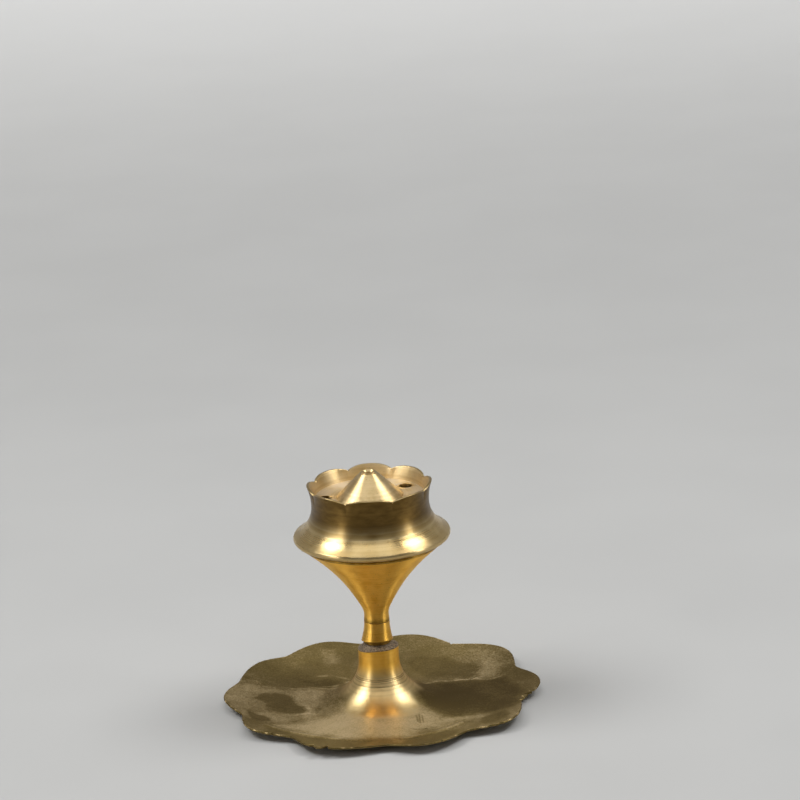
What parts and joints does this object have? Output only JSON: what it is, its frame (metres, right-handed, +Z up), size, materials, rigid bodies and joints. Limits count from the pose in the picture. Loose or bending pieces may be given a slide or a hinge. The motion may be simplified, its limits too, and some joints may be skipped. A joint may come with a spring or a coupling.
{
  "type": "incense stick holder",
  "caption": "Brass incense stick holder: lobed dish, trumpet boss, neck ring, funnel stem and a petal-rimmed cup with stick holes round a conical socket.",
  "frame": {"origin": "on the table, under the middle of the dish", "axes": "+Z up along the stem's axis; -Y towards the viewer of the picture; +X through one lobe tip of the dish"},
  "size_m": [0.0776, 0.075, 0.0583],
  "materials": {
    "aged_brass": "dull, stained, hand-cut edge",
    "turned_brass": "turned, fine lathe lines",
    "cup_brass": "turned, worn polish",
    "plated_steel": "zinc plated, dull"
  },
  "bodies": {
    "base_dish": {"base_dish": "aged_brass"},
    "neck_ring": {"neck_ring": "turned_brass"},
    "stem_funnel": {"stem_funnel": "turned_brass"},
    "cone_socket": {"cone_socket": "cup_brass"},
    "cup": {"cup": "cup_brass"},
    "base_washer": {"base_washer": "plated_steel"},
    "base_screw": {"base_screw": "plated_steel"}
  },
  "joints": [
    {"name": "ring_lift", "type": "slide", "parent": "base_dish", "child": "neck_ring", "axis": [0, 0, 1], "range_m": [0, 0.004]},
    {"name": "stem_turn", "type": "hinge", "parent": "neck_ring", "child": "stem_funnel", "pos_m": [0, 0, 0.0205], "axis": [0, 0, 1], "range_deg": [0, 2880]},
    {"name": "cone_lift", "type": "slide", "parent": "stem_funnel", "child": "cone_socket", "axis": [0, 0, 1], "range_m": [0, 0.003]},
    {"name": "cup_turn", "type": "hinge", "parent": "cone_socket", "child": "cup", "pos_m": [0, 0, 0.0409], "axis": [0, 0, 1], "range_deg": [0, 1080]},
    {"name": "washer_drop", "type": "slide", "parent": "base_dish", "child": "base_washer", "axis": [0, 0, -1], "range_m": [0, 0.004]},
    {"name": "screw_turn", "type": "hinge", "parent": "base_washer", "child": "base_screw", "pos_m": [0, 0, 0.0093], "axis": [0, 0, -1], "range_deg": [0, 2880]}
  ],
  "couplings": [
    {"joint": "stem_turn", "follows": "ring_lift", "rad_per_m": 12566},
    {"joint": "cup_turn", "follows": "cone_lift", "rad_per_m": 6283.2},
    {"joint": "screw_turn", "follows": "washer_drop", "rad_per_m": 12566}
  ]
}
